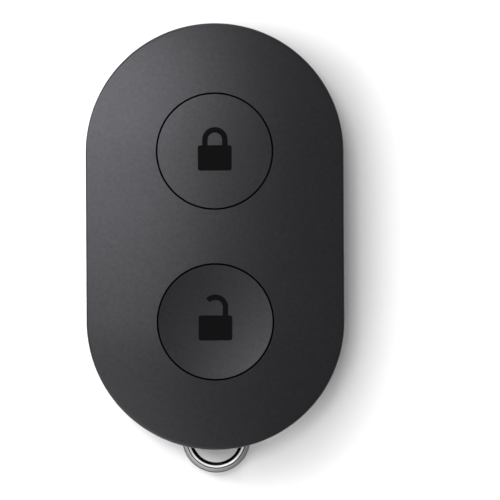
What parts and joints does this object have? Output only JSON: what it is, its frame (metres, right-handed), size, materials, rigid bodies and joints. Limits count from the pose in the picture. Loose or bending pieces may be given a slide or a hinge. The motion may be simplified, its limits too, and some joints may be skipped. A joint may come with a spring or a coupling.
{
  "type": "smart lock remote key",
  "caption": "Pill-shaped remote key with a crowned satin case, lock and unlock push buttons, a bayonet battery door and a small captive key ring.",
  "frame": {"origin": "middle of the flat back face that the key lies on, under the middle of the case", "axes": "+Z out of the front face, +Y along the case towards the lock button, +X to the right seen from the front"},
  "size_m": [0.0362, 0.0633, 0.011],
  "materials": {
    "cover_satin": "graphite grey metallic paint with a fine satin grain",
    "button_satin": "the same graphite grey paint on the key caps",
    "back_plastic": "fine-grained black moulding",
    "door_plastic": "black moulding, a little smoother than the back",
    "seal_rubber": "soft black rubber",
    "mat_rubber": "translucent grey silicone rubber",
    "board_laminate": "green solder-resist over glass laminate",
    "chip_black": "black moulding compound",
    "bright_steel": "bright nickel-plated steel",
    "antenna_ceramic": "white ceramic with silvered ends",
    "capacitor_ceramic": "tan ceramic with tinned ends",
    "white_plastic": "off-white moulding",
    "spring_strip": "thin spring bronze strip",
    "ring_polished": "polished nickel-plated steel wire",
    "screw_steel": "blackened steel"
  },
  "bodies": {
    "case": {"front_cover": "cover_satin", "rear_cover": "back_plastic", "key_mat": "mat_rubber", "circuit_board": "board_laminate", "radio_chip": "chip_black", "crystal": "bright_steel", "chip_antenna": "antenna_ceramic", "chip_capacitors": "capacitor_ceramic", "chip_resistors": "chip_black", "battery_can": "bright_steel", "battery_cap": "bright_steel", "battery_gasket": "white_plastic", "positive_contact": "spring_strip", "negative_contact": "spring_strip", "ring_pin": "bright_steel", "case_screws": "screw_steel", "lock_switch_base": "chip_black", "lock_switch_plate": "bright_steel", "lock_switch_dome": "spring_strip", "lock_switch_terminals": "bright_steel", "unlock_switch_base": "chip_black", "unlock_switch_plate": "bright_steel", "unlock_switch_dome": "spring_strip", "unlock_switch_terminals": "bright_steel"},
    "door": {"battery_door": "door_plastic", "door_seal": "seal_rubber"},
    "lock_key": {"lock_button": "button_satin"},
    "unlock_key": {"unlock_button": "button_satin"},
    "lock_plunger": {"lock_switch_plunger": "white_plastic"},
    "unlock_plunger": {"unlock_switch_plunger": "white_plastic"},
    "ring": {"key_ring": "ring_polished"}
  },
  "joints": [
    {"name": "lock_press", "type": "slide", "parent": "case", "child": "lock_key", "axis": [0, 0, -1], "range_m": [0, 0.00025], "stiffness_N_per_m": 400, "springref_m": -0.00005, "deforming": ["key_mat"]},
    {"name": "unlock_press", "type": "slide", "parent": "case", "child": "unlock_key", "axis": [0, 0, -1], "range_m": [0, 0.00025], "stiffness_N_per_m": 400, "springref_m": -0.00005, "deforming": ["key_mat"]},
    {"name": "lock_plunger_travel", "type": "slide", "parent": "case", "child": "lock_plunger", "axis": [0, 0, -1], "range_m": [0, 0.00025], "deforming": ["lock_switch_dome"]},
    {"name": "unlock_plunger_travel", "type": "slide", "parent": "case", "child": "unlock_plunger", "axis": [0, 0, -1], "range_m": [0, 0.00025], "deforming": ["unlock_switch_dome"]},
    {"name": "door_turn", "type": "hinge", "parent": "case", "child": "door", "pos_m": [0, 0, 0], "axis": [0, 0, 1], "range_deg": [0, 35]},
    {"name": "ring_swing", "type": "hinge", "parent": "case", "child": "ring", "pos_m": [0, -0.02616, 0.0031], "axis": [0, 0, 1], "range_deg": [-60, 60]}
  ],
  "couplings": [
    {"joint": "lock_plunger_travel", "follows": "lock_press", "ratio": 1},
    {"joint": "unlock_plunger_travel", "follows": "unlock_press", "ratio": 1}
  ]
}
